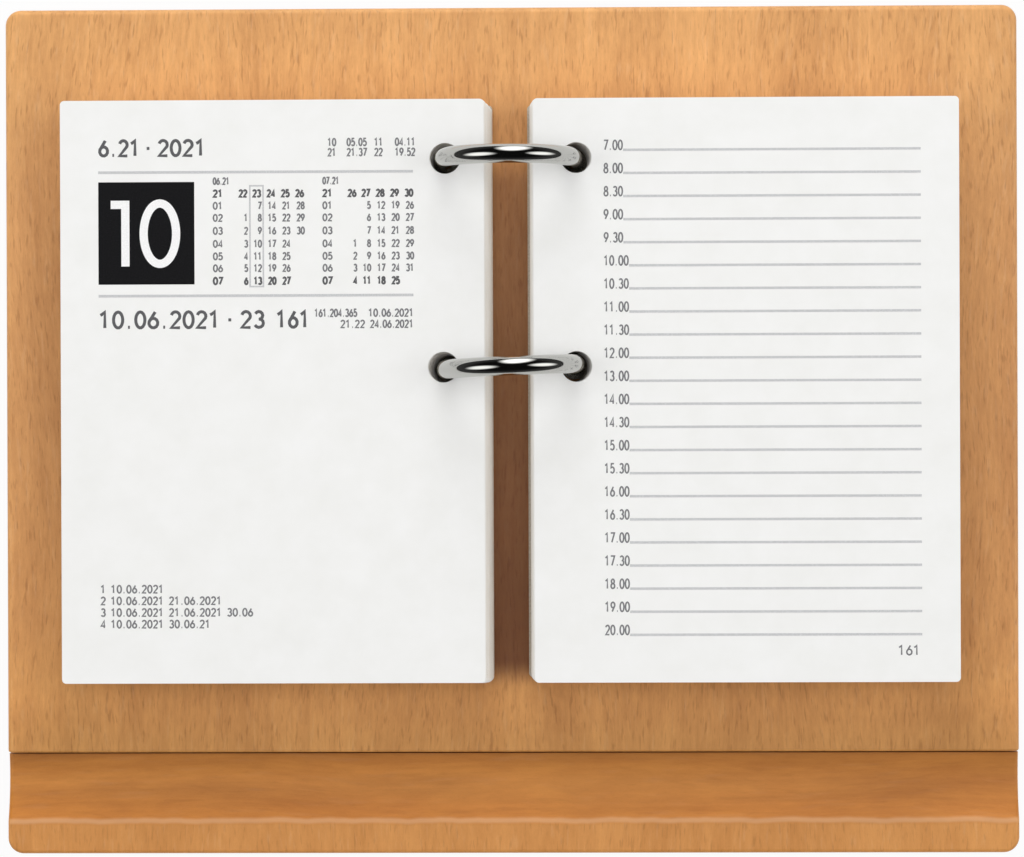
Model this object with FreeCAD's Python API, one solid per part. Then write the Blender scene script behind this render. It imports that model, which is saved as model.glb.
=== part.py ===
import FreeCAD, Part

# Desk calendar: two stacks of loose leaves on ring bows, on a wooden stand with a full-width drawer.
# Millimetres. X runs to the right, Y to the rear and Z up. The origin lies on the desk, under the
# middle of the stand.

import math
import os

from FreeCAD import Vector

# ---------------------------------------------------------------- driving dimensions

# Stand: the outline that the top board and the drawer front share.
STAND_WIDTH = 195.0
STAND_DEPTH = 163.0
CORNER_RADIUS = 3.0
EDGE_ROUND = 1.2
SEAM_ROUND = 0.5

# Case: board, rails, floor panel and feet.
BOARD_THICK = 9.0
RAIL_THICK = 9.0
RAIL_HEIGHT = 23.5
RAIL_EDGE_ROUND = 0.8
TONGUE_THICK = 3.0
TONGUE_DEPTH = 3.0
TONGUE_END_INSET = 12.0
PANEL_THICK = 3.0
RABBET_WIDTH = 5.5
FOOT_DIAMETER = 12.0
FOOT_HEIGHT = 1.5
FOOT_INSET = 16.0
RUNNER_WIDTH = 8.0
RUNNER_HEIGHT = 1.5
RUNNER_END_GAP = 4.0

# Drawer front: a shallow pen groove behind a lip, which is also the finger pull.
FRONT_DEPTH = 19.2
FRONT_LIFT = 1.0
GROOVE_WIDTH = 13.0
GROOVE_DEPTH = 2.2
GROOVE_LOW_LINE = 8.5
LIP_ROUND = 2.5
FRONT_EDGE_ROUND = 0.8

# Drawer box.
DRAWER_REAR_ROOM = 12.5
DRAWER_TRAVEL = 85.0
DRAWER_WALL = 6.0
DRAWER_HEADROOM = 1.0
DRAWER_FLOOR_THICK = 3.0
DRAWER_FLOOR_LIFT = 2.0
DRAWER_GROOVE = 3.0
SIDE_HOUSING = 5.0
BACK_HOUSING = 2.0
STOP_WIDTH = 60.0
STOP_DEPTH = 8.0
STOP_DROP = 3.0

# Leaves, with the two punched holes along the inner edge.
LEAF_WIDTH = 80.0
LEAF_HEIGHT = 110.0
LEAF_THICK = 0.12
LEAF_CORNER = 0.8
LEAF_REAR_MARGIN = 19.0
STACK_THICK = 15.0
CARD_THICK = 0.5
STACK_LEAN = 1.3
HOLE_DIAMETER = 5.8
HOLE_MARGIN = 8.1
HOLE_FROM_REAR = 11.2
HOLE_PITCH = 39.3

# Ring bows of bent wire, and the sockets in the board that their legs plug into.
WIRE_DIAMETER = 3.6
BOW_RADIUS = 12.1
BOW_TIP_CHAMFER = 0.5
FRONT_BOW_TURN = 2.2
FRONT_BOW_SHIFT = 0.3
SOCKET_WALL = 0.8
SOCKET_DEPTH = 8.0
SOCKET_FLOOR = 0.6

# Screws that hold the floor panel.
SCREW_DIAMETER = 2.5
SCREW_HEAD_DIAMETER = 4.4
SCREW_LENGTH = 10.0
SCREW_POINT = 1.5
SCREW_END_INSET = 14.0

# Clearances.
SEAM_GAP = 0.3
RUNNING_GAP = 0.2
DRAWER_SIDE_PLAY = 0.5
PANEL_PLAY = 0.2
SLIP_FIT = 0.1
TIGHT_FIT = 0.03
SOCKET_FIT = 0.06
LEAF_GAP = 0.05

# ---------------------------------------------------------------- places worked out from them

HALF_WIDTH = STAND_WIDTH / 2
REAR_Y = STAND_DEPTH / 2
FRONT_Y = -STAND_DEPTH / 2
SEAM_Y = FRONT_Y + FRONT_DEPTH + SEAM_GAP
FRONT_BACK_Y = SEAM_Y - SEAM_GAP

CASE_Z = FOOT_HEIGHT
PANEL_TOP_Z = CASE_Z + PANEL_THICK
RUNNER_TOP_Z = PANEL_TOP_Z + RUNNER_HEIGHT
RAIL_TOP_Z = CASE_Z + RAIL_HEIGHT
BOARD_TOP_Z = RAIL_TOP_Z + BOARD_THICK

RAIL_IN_X = HALF_WIDTH - RAIL_THICK
RAIL_MID_X = HALF_WIDTH - RAIL_THICK / 2
BACK_IN_Y = REAR_Y - RAIL_THICK
BACK_MID_Y = REAR_Y - RAIL_THICK / 2
PANEL_X = RAIL_IN_X + RABBET_WIDTH - PANEL_PLAY
PANEL_REAR_Y = BACK_IN_Y + RABBET_WIDTH - PANEL_PLAY

DRAWER_OUT_X = RAIL_IN_X - DRAWER_SIDE_PLAY
DRAWER_IN_X = DRAWER_OUT_X - DRAWER_WALL
DRAWER_REAR_Y = BACK_IN_Y - DRAWER_REAR_ROOM
DRAWER_BACK_Y = DRAWER_REAR_Y - DRAWER_WALL
DRAWER_Z = RUNNER_TOP_Z + RUNNING_GAP
DRAWER_TOP_Z = RAIL_TOP_Z - DRAWER_HEADROOM
DRAWER_FLOOR_Z = DRAWER_Z + DRAWER_FLOOR_LIFT
DRAWER_FLOOR_TOP_Z = DRAWER_FLOOR_Z + DRAWER_FLOOR_THICK
STOP_REAR_Y = DRAWER_BACK_Y - DRAWER_TRAVEL - SLIP_FIT

STACK_Z = BOARD_TOP_Z + CARD_THICK
STACK_TOP_Z = STACK_Z + STACK_THICK
TURN_Z = STACK_TOP_Z + LEAF_GAP + LEAF_THICK / 2
LEAF_REAR_Y = REAR_Y - LEAF_REAR_MARGIN
LEAF_FRONT_Y = LEAF_REAR_Y - LEAF_HEIGHT
REAR_BOW_Y = LEAF_REAR_Y - HOLE_FROM_REAR
FRONT_BOW_Y = REAR_BOW_Y - HOLE_PITCH
WIRE_RADIUS = WIRE_DIAMETER / 2
TOP_HOLE_X = BOW_RADIUS + STACK_LEAN / 2
FOOT_HOLE_X = BOW_RADIUS - STACK_LEAN / 2
SOCKET_BORE_RADIUS = WIRE_RADIUS + SOCKET_FIT
SOCKET_RADIUS = SOCKET_BORE_RADIUS + SOCKET_WALL
BOW_FOOT_Z = BOARD_TOP_Z - SOCKET_DEPTH + SOCKET_FLOOR + SOCKET_FIT

# ---------------------------------------------------------------- helpers


def block(x_low, x_high, y_low, y_high, z_low, z_high):
    """A box between two corners."""
    corner = Vector(x_low, y_low, z_low)
    return Part.makeBox(x_high - x_low, y_high - y_low, z_high - z_low, corner)


def post(x, y, z_low, z_high, radius):
    """An upright cylinder."""
    return Part.makeCylinder(radius, z_high - z_low, Vector(x, y, z_low))


def round_edges(shape, radius, wanted):
    """Fillets the edges whose two ends both pass the test."""
    edges = [edge for edge in shape.Edges if all(wanted(vertex.Point) for vertex in edge.Vertexes)]
    return shape.makeFillet(radius, edges)


def near(value, target):
    return abs(value - target) < 0.001


def cut_all(shape, tools):
    for tool in tools:
        shape = shape.cut(tool)
    return shape


def mirrored(shape):
    """The same piece on the other side of the middle plane."""
    return shape.mirror(Vector(0, 0, 0), Vector(1, 0, 0))


def both_sides(shape):
    return [shape, mirrored(shape)]


def revolved(points):
    """A solid turned about Z from a closed outline of (radius, height) points."""
    corners = [Vector(radius, 0, height) for radius, height in points]
    outline = Part.makePolygon(corners + corners[:1])
    return Part.Face(outline).revolve(Vector(0, 0, 0), Vector(0, 0, 1), 360)


def placed(shape, x, y, z):
    """A copy moved to a place."""
    copy = shape.copy()
    copy.translate(Vector(x, y, z))
    return copy


def save(node, shape):
    """Writes one piece, or a group of like pieces, as its own file."""
    solids = shape if isinstance(shape, list) else [shape]
    Part.makeCompound(solids).exportStep(f"parts/{node}.step")


# ---------------------------------------------------------------- places of what repeats


def screw_places():
    """(x, y) of the screws that hold the floor panel in the side rails' rabbets."""
    x = RAIL_IN_X + RABBET_WIDTH / 2
    return [(side * x, y) for side in (-1, 1) for y in (SEAM_Y + SCREW_END_INSET, BACK_IN_Y - SCREW_END_INSET)]


def foot_places():
    """(x, y) of the felt feet."""
    x = HALF_WIDTH - FOOT_INSET
    return [(side * x, y) for side in (-1, 1) for y in (SEAM_Y + FOOT_INSET, REAR_Y - FOOT_INSET)]


def bow_leg_places(bow_y, shift, turn):
    """(x, y) of the two legs of a bow that stands a little to one side and is turned about its own middle."""
    angle = math.radians(turn)
    reach_x = BOW_RADIUS * math.cos(angle)
    reach_y = BOW_RADIUS * math.sin(angle)
    return [(shift + side * reach_x, bow_y + side * reach_y) for side in (-1, 1)]


def socket_places():
    return bow_leg_places(REAR_BOW_Y, 0, 0) + bow_leg_places(FRONT_BOW_Y, FRONT_BOW_SHIFT, FRONT_BOW_TURN)


# ---------------------------------------------------------------- case


def side_tongue(play):
    """The tongue on top of the right rail. With play, the groove that takes it."""
    half = TONGUE_THICK / 2 + play
    return block(RAIL_MID_X - half, RAIL_MID_X + half, SEAM_Y + TONGUE_END_INSET - play,
                 BACK_IN_Y - TONGUE_END_INSET + play, RAIL_TOP_Z, RAIL_TOP_Z + TONGUE_DEPTH + play)


def back_tongue(play):
    """The tongue on top of the back rail, or its groove."""
    half = TONGUE_THICK / 2 + play
    reach = RAIL_IN_X - TONGUE_END_INSET + play
    return block(-reach, reach, BACK_MID_Y - half, BACK_MID_Y + half, RAIL_TOP_Z, RAIL_TOP_Z + TONGUE_DEPTH + play)


def corner_tongue(play):
    """The upright tongue on the back rail's right end, or its groove in the side rail."""
    half = TONGUE_THICK / 2 + play
    return block(RAIL_IN_X, RAIL_IN_X + TONGUE_DEPTH + play, BACK_MID_Y - half, BACK_MID_Y + half,
                 PANEL_TOP_Z - play, RAIL_TOP_Z)


def is_upright_at(edge, y):
    ends = [vertex.Point for vertex in edge.Vertexes]
    return near(ends[0].x, ends[-1].x) and not near(ends[0].z, ends[-1].z) and all(near(end.y, y) for end in ends)


def is_level_at(edge, z):
    return all(near(vertex.Point.z, z) for vertex in edge.Vertexes)


def lies_on_y(edge, y):
    return all(near(vertex.Point.y, y) for vertex in edge.Vertexes)


def lies_on_x(edge, x):
    return all(near(vertex.Point.x, x) for vertex in edge.Vertexes)


def top_board():
    """The board with rounded edges, bored for the sockets and grooved below for the rails."""
    board = block(-HALF_WIDTH, HALF_WIDTH, SEAM_Y, REAR_Y, RAIL_TOP_Z, BOARD_TOP_Z)
    board = board.makeFillet(CORNER_RADIUS, [edge for edge in board.Edges if is_upright_at(edge, REAR_Y)])
    rim = [edge for edge in board.Edges if is_level_at(edge, BOARD_TOP_Z) and not lies_on_y(edge, SEAM_Y)]
    board = board.makeFillet(EDGE_ROUND, rim)
    seam = [edge for edge in board.Edges if is_level_at(edge, BOARD_TOP_Z) and lies_on_y(edge, SEAM_Y)]
    board = board.makeFillet(SEAM_ROUND, seam)
    board = cut_all(board, both_sides(side_tongue(SLIP_FIT)) + [back_tongue(SLIP_FIT)])
    hole_foot = BOARD_TOP_Z - SOCKET_DEPTH - TIGHT_FIT
    bores = [post(x, y, hole_foot, BOARD_TOP_Z, SOCKET_RADIUS + TIGHT_FIT) for x, y in socket_places()]
    return cut_all(board, bores)


def right_rail():
    """The right side rail: a tongue on top, a rounded rear corner and a rabbet along its inner foot."""
    rail = block(RAIL_IN_X, HALF_WIDTH, SEAM_Y, REAR_Y, CASE_Z, RAIL_TOP_Z)
    rail = round_edges(rail, CORNER_RADIUS, lambda p: near(p.x, HALF_WIDTH) and near(p.y, REAR_Y))
    outer_foot = [
        edge for edge in rail.Edges
        if is_level_at(edge, CASE_Z) and not lies_on_x(edge, RAIL_IN_X) and not lies_on_y(edge, SEAM_Y)
    ]
    rail = rail.makeFillet(RAIL_EDGE_ROUND, outer_foot)
    rabbet_rear = BACK_IN_Y + RABBET_WIDTH
    rabbet = block(RAIL_IN_X, RAIL_IN_X + RABBET_WIDTH, SEAM_Y, rabbet_rear, CASE_Z, PANEL_TOP_Z)
    rail = rail.cut(rabbet).cut(corner_tongue(SLIP_FIT)).fuse(side_tongue(0)).removeSplitter()
    return cut_all(rail, screw_holes())


def back_rail():
    """The back rail: tongues on top and at both ends, and the same rabbet."""
    rail = block(-RAIL_IN_X, RAIL_IN_X, BACK_IN_Y, REAR_Y, CASE_Z, RAIL_TOP_Z)
    rail = round_edges(rail, RAIL_EDGE_ROUND, lambda p: near(p.y, REAR_Y) and near(p.z, CASE_Z))
    rail = rail.cut(block(-RAIL_IN_X, RAIL_IN_X, BACK_IN_Y, BACK_IN_Y + RABBET_WIDTH, CASE_Z, PANEL_TOP_Z))
    for tongue in both_sides(corner_tongue(0)) + [back_tongue(0)]:
        rail = rail.fuse(tongue)
    return rail.removeSplitter()


def bottom_panel():
    """The floor panel, let into the rabbets and screwed up into the side rails."""
    panel = block(-PANEL_X, PANEL_X, SEAM_Y, PANEL_REAR_Y, CASE_Z, PANEL_TOP_Z)
    return cut_all(panel, screw_holes())


def wood_screw(play):
    """A countersunk screw, head down at the origin. With play, the hole that it sits in."""
    head_radius = SCREW_HEAD_DIAMETER / 2 + play
    shank_radius = SCREW_DIAMETER / 2 + play
    shank_top = SCREW_LENGTH - SCREW_POINT + play
    return revolved([
        (0, 0),
        (head_radius, 0),
        (shank_radius, head_radius - shank_radius),
        (shank_radius, shank_top),
        (0, SCREW_LENGTH + play),
    ])


def panel_screws():
    return [placed(wood_screw(0), x, y, CASE_Z) for x, y in screw_places()]


def screw_holes():
    return [placed(wood_screw(TIGHT_FIT), x, y, CASE_Z) for x, y in screw_places()]


def right_runner():
    """A low strip on the floor panel, under the drawer's side."""
    return block(RAIL_IN_X - RUNNER_WIDTH, RAIL_IN_X, SEAM_Y + RUNNER_END_GAP, BACK_IN_Y - RUNNER_END_GAP,
                 PANEL_TOP_Z, RUNNER_TOP_Z)


def felt_feet():
    return [post(x, y, 0, FOOT_HEIGHT, FOOT_DIAMETER / 2) for x, y in foot_places()]


def stop_batten():
    """A batten under the board that catches the drawer's back at full pull."""
    return block(-STOP_WIDTH / 2, STOP_WIDTH / 2, STOP_REAR_Y - STOP_DEPTH, STOP_REAR_Y,
                 RAIL_TOP_Z - STOP_DROP, RAIL_TOP_Z)


# ---------------------------------------------------------------- drawer


def drawer_front():
    """The drawer front: one profile, with its groove and lip, runs the stand's full width."""
    lip_y = SEAM_Y - GROOVE_WIDTH
    low_y = lip_y + GROOVE_LOW_LINE
    low_z = BOARD_TOP_Z - GROOVE_DEPTH
    cove_radius = (GROOVE_LOW_LINE ** 2 + GROOVE_DEPTH ** 2) / (2 * GROOVE_DEPTH)
    edge_z = low_z + cove_radius - math.sqrt(cove_radius ** 2 - (FRONT_BACK_Y - low_y) ** 2)
    foot_z = CASE_Z + FRONT_LIFT
    back_foot = Vector(-HALF_WIDTH, FRONT_BACK_Y, foot_z)
    back_top = Vector(-HALF_WIDTH, FRONT_BACK_Y, edge_z)
    low_line = Vector(-HALF_WIDTH, low_y, low_z)
    lip_inner = Vector(-HALF_WIDTH, lip_y, BOARD_TOP_Z)
    lip_outer = Vector(-HALF_WIDTH, FRONT_Y, BOARD_TOP_Z)
    front_foot = Vector(-HALF_WIDTH, FRONT_Y, foot_z)
    outline = Part.Wire([
        Part.makeLine(back_foot, back_top),
        Part.Arc(back_top, low_line, lip_inner).toShape(),
        Part.makeLine(lip_inner, lip_outer),
        Part.makeLine(lip_outer, front_foot),
        Part.makeLine(front_foot, back_foot),
    ])
    front = Part.Face(outline).extrude(Vector(STAND_WIDTH, 0, 0))
    front = front.makeFillet(CORNER_RADIUS, [edge for edge in front.Edges if is_upright_at(edge, FRONT_Y)])
    front = round_edges(front, LIP_ROUND, lambda p: near(p.y, lip_y) and near(p.z, BOARD_TOP_Z))
    rim = [edge for edge in front.Edges if is_top_rim(edge, low_z)]
    front = front.makeFillet(FRONT_EDGE_ROUND, rim)
    housing = block(DRAWER_IN_X - SLIP_FIT, DRAWER_OUT_X + SLIP_FIT, FRONT_BACK_Y - SIDE_HOUSING - SLIP_FIT,
                    FRONT_BACK_Y, DRAWER_Z - SLIP_FIT, DRAWER_TOP_Z + SLIP_FIT)
    floor_groove = block(-DRAWER_IN_X, DRAWER_IN_X, FRONT_BACK_Y - DRAWER_GROOVE - SLIP_FIT, FRONT_BACK_Y,
                         DRAWER_FLOOR_Z - SLIP_FIT, DRAWER_FLOOR_TOP_Z + SLIP_FIT)
    return cut_all(front, both_sides(housing) + [floor_groove])


def is_top_rim(edge, low_z):
    """True of the edges along the top of both ends, round the front corners and along the front."""
    ends = [vertex.Point for vertex in edge.Vertexes]
    on_top = all(end.z > low_z - 0.001 for end in ends)
    on_end = all(near(abs(end.x), HALF_WIDTH) for end in ends) and near(ends[0].x, ends[-1].x)
    past_corner = all(end.y < FRONT_Y + CORNER_RADIUS + 0.001 for end in ends)
    return on_top and (on_end or past_corner)


def drawer_right_side():
    """A drawer side, housed in the front, grooved for the floor and housing the back."""
    side = block(DRAWER_IN_X, DRAWER_OUT_X, FRONT_BACK_Y - SIDE_HOUSING, DRAWER_REAR_Y, DRAWER_Z, DRAWER_TOP_Z)
    groove = block(DRAWER_IN_X, DRAWER_IN_X + DRAWER_GROOVE + SLIP_FIT, FRONT_BACK_Y - SIDE_HOUSING,
                   DRAWER_REAR_Y, DRAWER_FLOOR_Z - SLIP_FIT, DRAWER_FLOOR_TOP_Z + SLIP_FIT)
    housing = block(DRAWER_IN_X, DRAWER_IN_X + BACK_HOUSING + SLIP_FIT, DRAWER_BACK_Y - SLIP_FIT,
                    DRAWER_REAR_Y, DRAWER_Z, DRAWER_TOP_Z)
    return side.cut(groove).cut(housing)


def drawer_back():
    """The drawer's back, housed in the sides, with a groove for the floor."""
    reach = DRAWER_IN_X + BACK_HOUSING
    back = block(-reach, reach, DRAWER_BACK_Y, DRAWER_REAR_Y, DRAWER_Z, DRAWER_TOP_Z)
    groove = block(-reach, reach, DRAWER_BACK_Y, DRAWER_BACK_Y + DRAWER_GROOVE + SLIP_FIT,
                   DRAWER_FLOOR_Z - SLIP_FIT, DRAWER_FLOOR_TOP_Z + SLIP_FIT)
    return back.cut(groove)


def drawer_bottom():
    """The drawer's floor, held in grooves on all four sides."""
    reach_x = DRAWER_IN_X + DRAWER_GROOVE
    rear_y = DRAWER_BACK_Y + DRAWER_GROOVE
    floor = block(-reach_x, reach_x, FRONT_BACK_Y, rear_y, DRAWER_FLOOR_Z, DRAWER_FLOOR_TOP_Z)
    tongue = block(-DRAWER_IN_X + SLIP_FIT, DRAWER_IN_X - SLIP_FIT, FRONT_BACK_Y - DRAWER_GROOVE, FRONT_BACK_Y,
                   DRAWER_FLOOR_Z, DRAWER_FLOOR_TOP_Z)
    return floor.fuse(tongue).removeSplitter()


# ---------------------------------------------------------------- rings


def ring_sockets():
    """Blind metal sockets, flush with the board, for the four bow legs."""
    sockets = []
    for x, y in socket_places():
        body = post(x, y, BOARD_TOP_Z - SOCKET_DEPTH, BOARD_TOP_Z, SOCKET_RADIUS)
        bore = post(x, y, BOARD_TOP_Z - SOCKET_DEPTH + SOCKET_FLOOR, BOARD_TOP_Z, SOCKET_BORE_RADIUS)
        sockets.append(body.cut(bore))
    return sockets


def bow(bow_y, shift, turn):
    """One wire bent to a half circle over the leaves, with a straight leg down to each socket."""
    left_foot = Vector(-BOW_RADIUS, 0, BOW_FOOT_Z)
    left_top = Vector(-BOW_RADIUS, 0, TURN_Z)
    crown = Vector(0, 0, TURN_Z + BOW_RADIUS)
    right_top = Vector(BOW_RADIUS, 0, TURN_Z)
    right_foot = Vector(BOW_RADIUS, 0, BOW_FOOT_Z)
    path = Part.Wire([
        Part.makeLine(left_foot, left_top),
        Part.Arc(left_top, crown, right_top).toShape(),
        Part.makeLine(right_top, right_foot),
    ])
    section = Part.Wire([Part.makeCircle(WIRE_RADIUS, left_foot, Vector(0, 0, 1))])
    wire = path.makePipeShell([section], True, False)
    wire = wire.makeChamfer(BOW_TIP_CHAMFER, [edge for edge in wire.Edges if is_level_at(edge, BOW_FOOT_Z)])
    wire.rotate(Vector(0, 0, 0), Vector(0, 0, 1), turn)
    return placed(wire, shift, bow_y, 0)


# ---------------------------------------------------------------- leaves


def leaf_face(hole_x, z):
    """The outline of one right-hand leaf with its two holes, in a level plane."""
    inner_x = hole_x - HOLE_MARGIN
    outer_x = inner_x + LEAF_WIDTH
    corners = [
        (inner_x, LEAF_FRONT_Y, 225),
        (outer_x, LEAF_FRONT_Y, 315),
        (outer_x, LEAF_REAR_Y, 45),
        (inner_x, LEAF_REAR_Y, 135),
    ]
    arcs = [corner_arc(x, y, heading, z) for x, y, heading in corners]
    edges = []
    for index, arc in enumerate(arcs):
        following = arcs[(index + 1) % len(arcs)]
        edges.append(arc)
        edges.append(Part.makeLine(arc.lastVertex().Point, following.firstVertex().Point))
    outline = Part.Face(Part.Wire(edges))
    for y in (REAR_BOW_Y, FRONT_BOW_Y):
        hole = Part.Wire([Part.makeCircle(HOLE_DIAMETER / 2, Vector(hole_x, y, z))])
        outline = outline.cut(Part.Face(hole))
    return outline.Faces[0]


def corner_arc(x, y, heading, z):
    """A quarter circle that rounds the corner (x, y), whose outward diagonal has this heading."""
    angle = math.radians(heading)
    centre_x = x - math.copysign(LEAF_CORNER, math.cos(angle))
    centre_y = y - math.copysign(LEAF_CORNER, math.sin(angle))
    points = []
    for offset in (-math.pi / 4, 0, math.pi / 4):
        reach_x = LEAF_CORNER * math.cos(angle + offset)
        reach_y = LEAF_CORNER * math.sin(angle + offset)
        points.append(Vector(centre_x + reach_x, centre_y + reach_y, z))
    return Part.Arc(*points).toShape()


def coming_leaves():
    """The right-hand stack. It leans outward by the play of its holes on the legs."""
    return leaf_face(FOOT_HOLE_X, STACK_Z).extrude(Vector(STACK_LEAN, 0, STACK_THICK))


def back_card():
    """The card under the right-hand stack."""
    return leaf_face(FOOT_HOLE_X, BOARD_TOP_Z).extrude(Vector(0, 0, CARD_THICK))


def turning_leaf():
    """The one leaf that is turned next. It lies on the right-hand stack."""
    return leaf_face(TOP_HOLE_X, TURN_Z - LEAF_THICK / 2).extrude(Vector(0, 0, LEAF_THICK))


# ---------------------------------------------------------------- every piece to its own file

os.makedirs("parts", exist_ok=True)

save("top_board", top_board())
save("left_rail", mirrored(right_rail()))
save("right_rail", right_rail())
save("back_rail", back_rail())
save("bottom_panel", bottom_panel())
save("left_runner", mirrored(right_runner()))
save("right_runner", right_runner())
save("panel_screws", panel_screws())
save("felt_feet", felt_feet())
save("stop_batten", stop_batten())
save("ring_sockets", ring_sockets())

save("drawer_front", drawer_front())
save("drawer_left_side", mirrored(drawer_right_side()))
save("drawer_right_side", drawer_right_side())
save("drawer_back", drawer_back())
save("drawer_bottom", drawer_bottom())

save("rear_bow", bow(REAR_BOW_Y, 0, 0))
save("front_bow", bow(FRONT_BOW_Y, FRONT_BOW_SHIFT, FRONT_BOW_TURN))

save("past_leaves", mirrored(coming_leaves()))
save("coming_leaves", coming_leaves())
save("cover_card", mirrored(back_card()))
save("back_card", back_card())
save("turning_leaf", turning_leaf())
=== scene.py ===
# %% [markdown]
# # A desk calendar on a wooden stand with a drawer
# The measured model is the frame: each wooden board, rail and drawer part is already there. This lesson
# gives them their finish, and adds what a solid model leaves out: the loose leaves of the two piles,
# the polished bows and the printing. Lengths are metres, so a millimetre has its own name.

import math

import bmesh
import bpy
import numpy as np
from mathutils import Matrix, Vector
from mathutils.geometry import tessellate_polygon


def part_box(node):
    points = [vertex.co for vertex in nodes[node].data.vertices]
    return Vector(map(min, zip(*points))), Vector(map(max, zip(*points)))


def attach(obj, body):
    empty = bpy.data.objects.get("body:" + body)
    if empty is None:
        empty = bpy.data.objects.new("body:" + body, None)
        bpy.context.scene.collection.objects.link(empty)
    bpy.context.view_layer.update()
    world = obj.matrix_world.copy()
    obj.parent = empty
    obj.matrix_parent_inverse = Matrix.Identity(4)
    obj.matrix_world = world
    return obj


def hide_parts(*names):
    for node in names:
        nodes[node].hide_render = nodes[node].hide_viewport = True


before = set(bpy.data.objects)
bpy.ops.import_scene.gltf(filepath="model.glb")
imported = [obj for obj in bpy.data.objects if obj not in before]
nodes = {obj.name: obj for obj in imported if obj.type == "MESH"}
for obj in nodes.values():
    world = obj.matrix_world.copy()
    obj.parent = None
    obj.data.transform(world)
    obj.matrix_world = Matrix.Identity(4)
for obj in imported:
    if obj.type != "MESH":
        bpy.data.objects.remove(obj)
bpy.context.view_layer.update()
MM = 0.001

# %% [markdown]
# ## The camera
# The calendar is seen from straight above, about 70 cm up, through a fairly long lens. The camera leans
# by about one degree, which shows as edges that aren't quite parallel. Euler angles would do, but a
# product of three small turns says more plainly what the camera does.

# %% Camera
CAMERA_PLACE = Vector((14.16, 1.79, 717.6)) * MM
CAMERA_LEAN_X = -0.0022
CAMERA_LEAN_Y = 0.0204
CAMERA_ROLL = -0.0036
FOCAL_PIXELS = 3549.7
PICTURE_WIDTH = 1024
SENSOR_WIDTH = 36.0
CLIP_START = 10 * MM

camera_data = bpy.data.cameras.new("overhead_camera")
camera_data.sensor_width = SENSOR_WIDTH
camera_data.lens = FOCAL_PIXELS * SENSOR_WIDTH / PICTURE_WIDTH
camera_data.clip_start = CLIP_START
camera = bpy.data.objects.new("overhead_camera", camera_data)
bpy.context.scene.collection.objects.link(camera)
turn = Matrix.Rotation(CAMERA_ROLL, 4, "Z") @ Matrix.Rotation(CAMERA_LEAN_X, 4, "X")
turn = turn @ Matrix.Rotation(CAMERA_LEAN_Y, 4, "Y")
camera.matrix_world = Matrix.Translation(CAMERA_PLACE) @ turn
bpy.context.scene.camera = camera
print("lens:", round(camera_data.lens, 1), "mm")

# %% [markdown]
# ## Small tools for shader nodes
# A material is a tree of nodes. Typing each node and link by hand hides the idea behind the wiring, so
# these few helpers add a node, feed its inputs, and do sums and mixes in one line each.

# %% Adding and feeding nodes


def feed(tree, target, value):
    """Links a socket to an input, or types a plain value into it."""
    if isinstance(value, bpy.types.NodeSocket):
        tree.links.new(value, target)
    else:
        target.default_value = value


def put(tree, kind, feeds=None, **settings):
    """Adds a node and feeds its inputs, each found by its name or its number."""
    item = tree.nodes.new(kind)
    for name, value in settings.items():
        setattr(item, name, value)
    for name, value in (feeds or {}).items():
        feed(tree, item.inputs[name], value)
    return item


print("nodes can be added and fed")

# %% Sums


def sums(tree, operation, first, second=0.0):
    """One sum on numbers."""
    return put(tree, "ShaderNodeMath", {0: first, 1: second}, operation=operation).outputs[0]


def vectors(tree, operation, first, second):
    """One sum on vectors. A dot product comes out as a number."""
    item = put(tree, "ShaderNodeVectorMath", {0: first, 1: second}, operation=operation)
    return item.outputs["Value" if operation == "DOT_PRODUCT" else "Vector"]


def stretch(tree, vector, factors):
    """A vector with each part multiplied by its own factor."""
    return vectors(tree, "MULTIPLY", vector, factors)


def split(tree, vector):
    """The three parts of a vector, named X, Y and Z."""
    return put(tree, "ShaderNodeSeparateXYZ", {0: vector}).outputs


print("numbers and vectors can be summed")

# %% Noise, ranges and mixes


def noise(tree, vector, scale, detail=2.0, roughness=0.5):
    """Soft noise between 0 and 1."""
    feeds = {"Vector": vector, "Scale": scale, "Detail": detail, "Roughness": roughness}
    return put(tree, "ShaderNodeTexNoise", feeds).outputs["Fac"]


def remap(tree, value, low, high, to_low=0.0, to_high=1.0, smooth=False):
    """Moves a value from one range to another, and stops it at the ends."""
    feeds = {"Value": value, "From Min": low, "From Max": high, "To Min": to_low, "To Max": to_high}
    kind = "SMOOTHSTEP" if smooth else "LINEAR"
    return put(tree, "ShaderNodeMapRange", feeds, interpolation_type=kind).outputs[0]


def mix(tree, amount, first, second, how="MIX"):
    """Mixes two colours. A Mix node has inputs for every kind of value: its colours are 6 and 7."""
    feeds = {0: amount, 6: first, 7: second}
    item = put(tree, "ShaderNodeMix", feeds, data_type="RGBA", blend_type=how, clamp_factor=True)
    return item.outputs[2]


def tinted(tree, shade, tint):
    """A colour multiplied by another."""
    return mix(tree, 1.0, shade, tint, "MULTIPLY")


def bumped(tree, height, strength, distance):
    """A normal that tilts as the height rises and falls."""
    feeds = {"Height": height, "Strength": strength, "Distance": distance}
    return put(tree, "ShaderNodeBump", feeds).outputs[0]


print("noise, ranges and mixes ready")

# %% [markdown]
# ## Colours, groups and materials
# A colour is easiest to choose as it looks on a screen, from 0 to 255, but light adds up on a linear
# scale, so each one is converted. A pattern that several finishes share becomes a node group with named
# sockets, and each finish types in its own values.

# %% Colours


def colour(red, green, blue):
    """An sRGB colour of 0 to 255 as the linear one that Blender wants."""
    def linear(value):
        value /= 255
        return value / 12.92 if value <= 0.04045 else ((value + 0.055) / 1.055) ** 2.4
    return (linear(red), linear(green), linear(blue), 1.0)


print("middle grey in light:", round(colour(128, 128, 128)[0], 3))

# %% Groups and materials


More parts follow.
